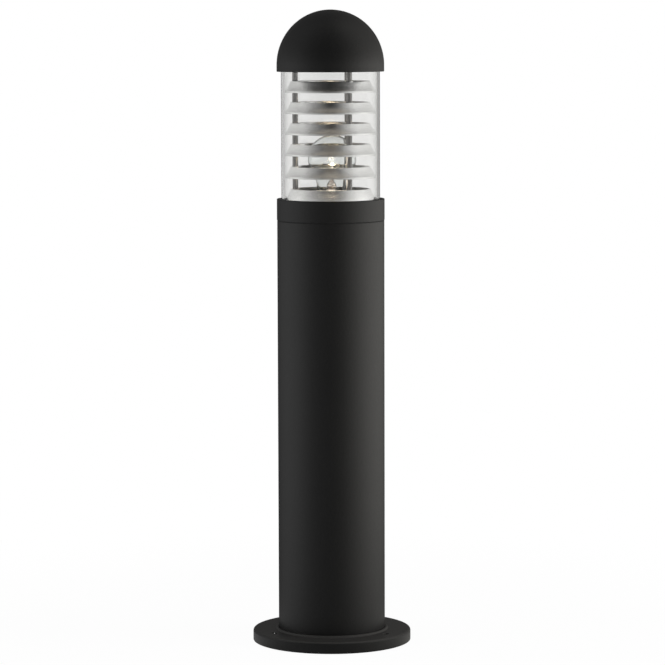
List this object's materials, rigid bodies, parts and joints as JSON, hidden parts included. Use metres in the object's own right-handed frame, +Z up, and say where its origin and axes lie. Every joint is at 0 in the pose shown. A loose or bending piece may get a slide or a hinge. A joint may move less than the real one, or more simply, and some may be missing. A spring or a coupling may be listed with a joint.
{
  "type": "garden post light",
  "caption": "Round black garden post light: louvred clear head under a domed cap, on a tube with a flange that bolts to the ground.",
  "frame": {"origin": "centre of the underside of the base flange", "axes": "+Z up along the post, towards the cap; -Y towards the side that the picture shows"},
  "size_m": [0.178, 0.178, 0.71],
  "materials": {
    "powder_coat": "fine-texture black powder coat",
    "satin_aluminium": "satin anodised",
    "grey_sleeve": "dull zinc",
    "zinc_steel": "bright zinc plate",
    "clear_diffuser": "clear",
    "black_rubber": "matt",
    "porcelain": "glazed",
    "brass": "bright",
    "bulb_glass": "clear",
    "lamp_wire": "drawn",
    "filament": "glowing",
    "cap_aluminium": "rolled",
    "black_insulator": "glassy",
    "solder": "dull",
    "white_plastic": "moulded",
    "lead_brown": "extruded",
    "lead_blue": "extruded",
    "lead_green": "extruded"
  },
  "bodies": {
    "root": {"base_flange": "powder_coat", "cable_grommet": "black_rubber", "base_screws": "zinc_steel", "post_tube": "powder_coat", "head_plate": "zinc_steel", "head_plate_screws": "zinc_steel", "collar_gasket": "black_rubber", "collar": "powder_coat", "lower_seal": "black_rubber", "diffuser": "clear_diffuser", "upper_seal": "black_rubber", "dome_cap": "powder_coat", "louvre_1": "satin_aluminium", "louvre_2": "satin_aluminium", "louvre_3": "satin_aluminium", "louvre_4": "satin_aluminium", "louvre_5": "satin_aluminium", "louvre_6": "satin_aluminium", "sleeves_1": "grey_sleeve", "sleeves_2": "grey_sleeve", "sleeves_3": "grey_sleeve", "sleeves_4": "grey_sleeve", "sleeves_5": "grey_sleeve", "sleeves_6": "grey_sleeve", "sleeves_7": "grey_sleeve", "tie_rods": "zinc_steel", "rod_washers": "zinc_steel", "rod_nuts": "zinc_steel", "gear_bracket": "zinc_steel", "bracket_screws": "zinc_steel", "lampholder_body": "porcelain", "lampholder_shell": "brass", "lampholder_contact": "brass", "lampholder_screws": "zinc_steel", "lamp_glass": "bulb_glass", "lamp_stem": "bulb_glass", "lamp_wires": "lamp_wire", "lamp_filament": "filament", "lamp_shell": "cap_aluminium", "lamp_insulator": "black_insulator", "lamp_contact": "solder", "terminal_block": "white_plastic", "terminal_screws": "brass", "block_screw": "zinc_steel", "live_lead": "lead_brown", "neutral_lead": "lead_blue", "earth_lead": "lead_green", "earth_tag": "brass", "earth_screw": "brass", "cord_clamp": "zinc_steel", "clamp_screws": "zinc_steel"}
  },
  "joints": []
}
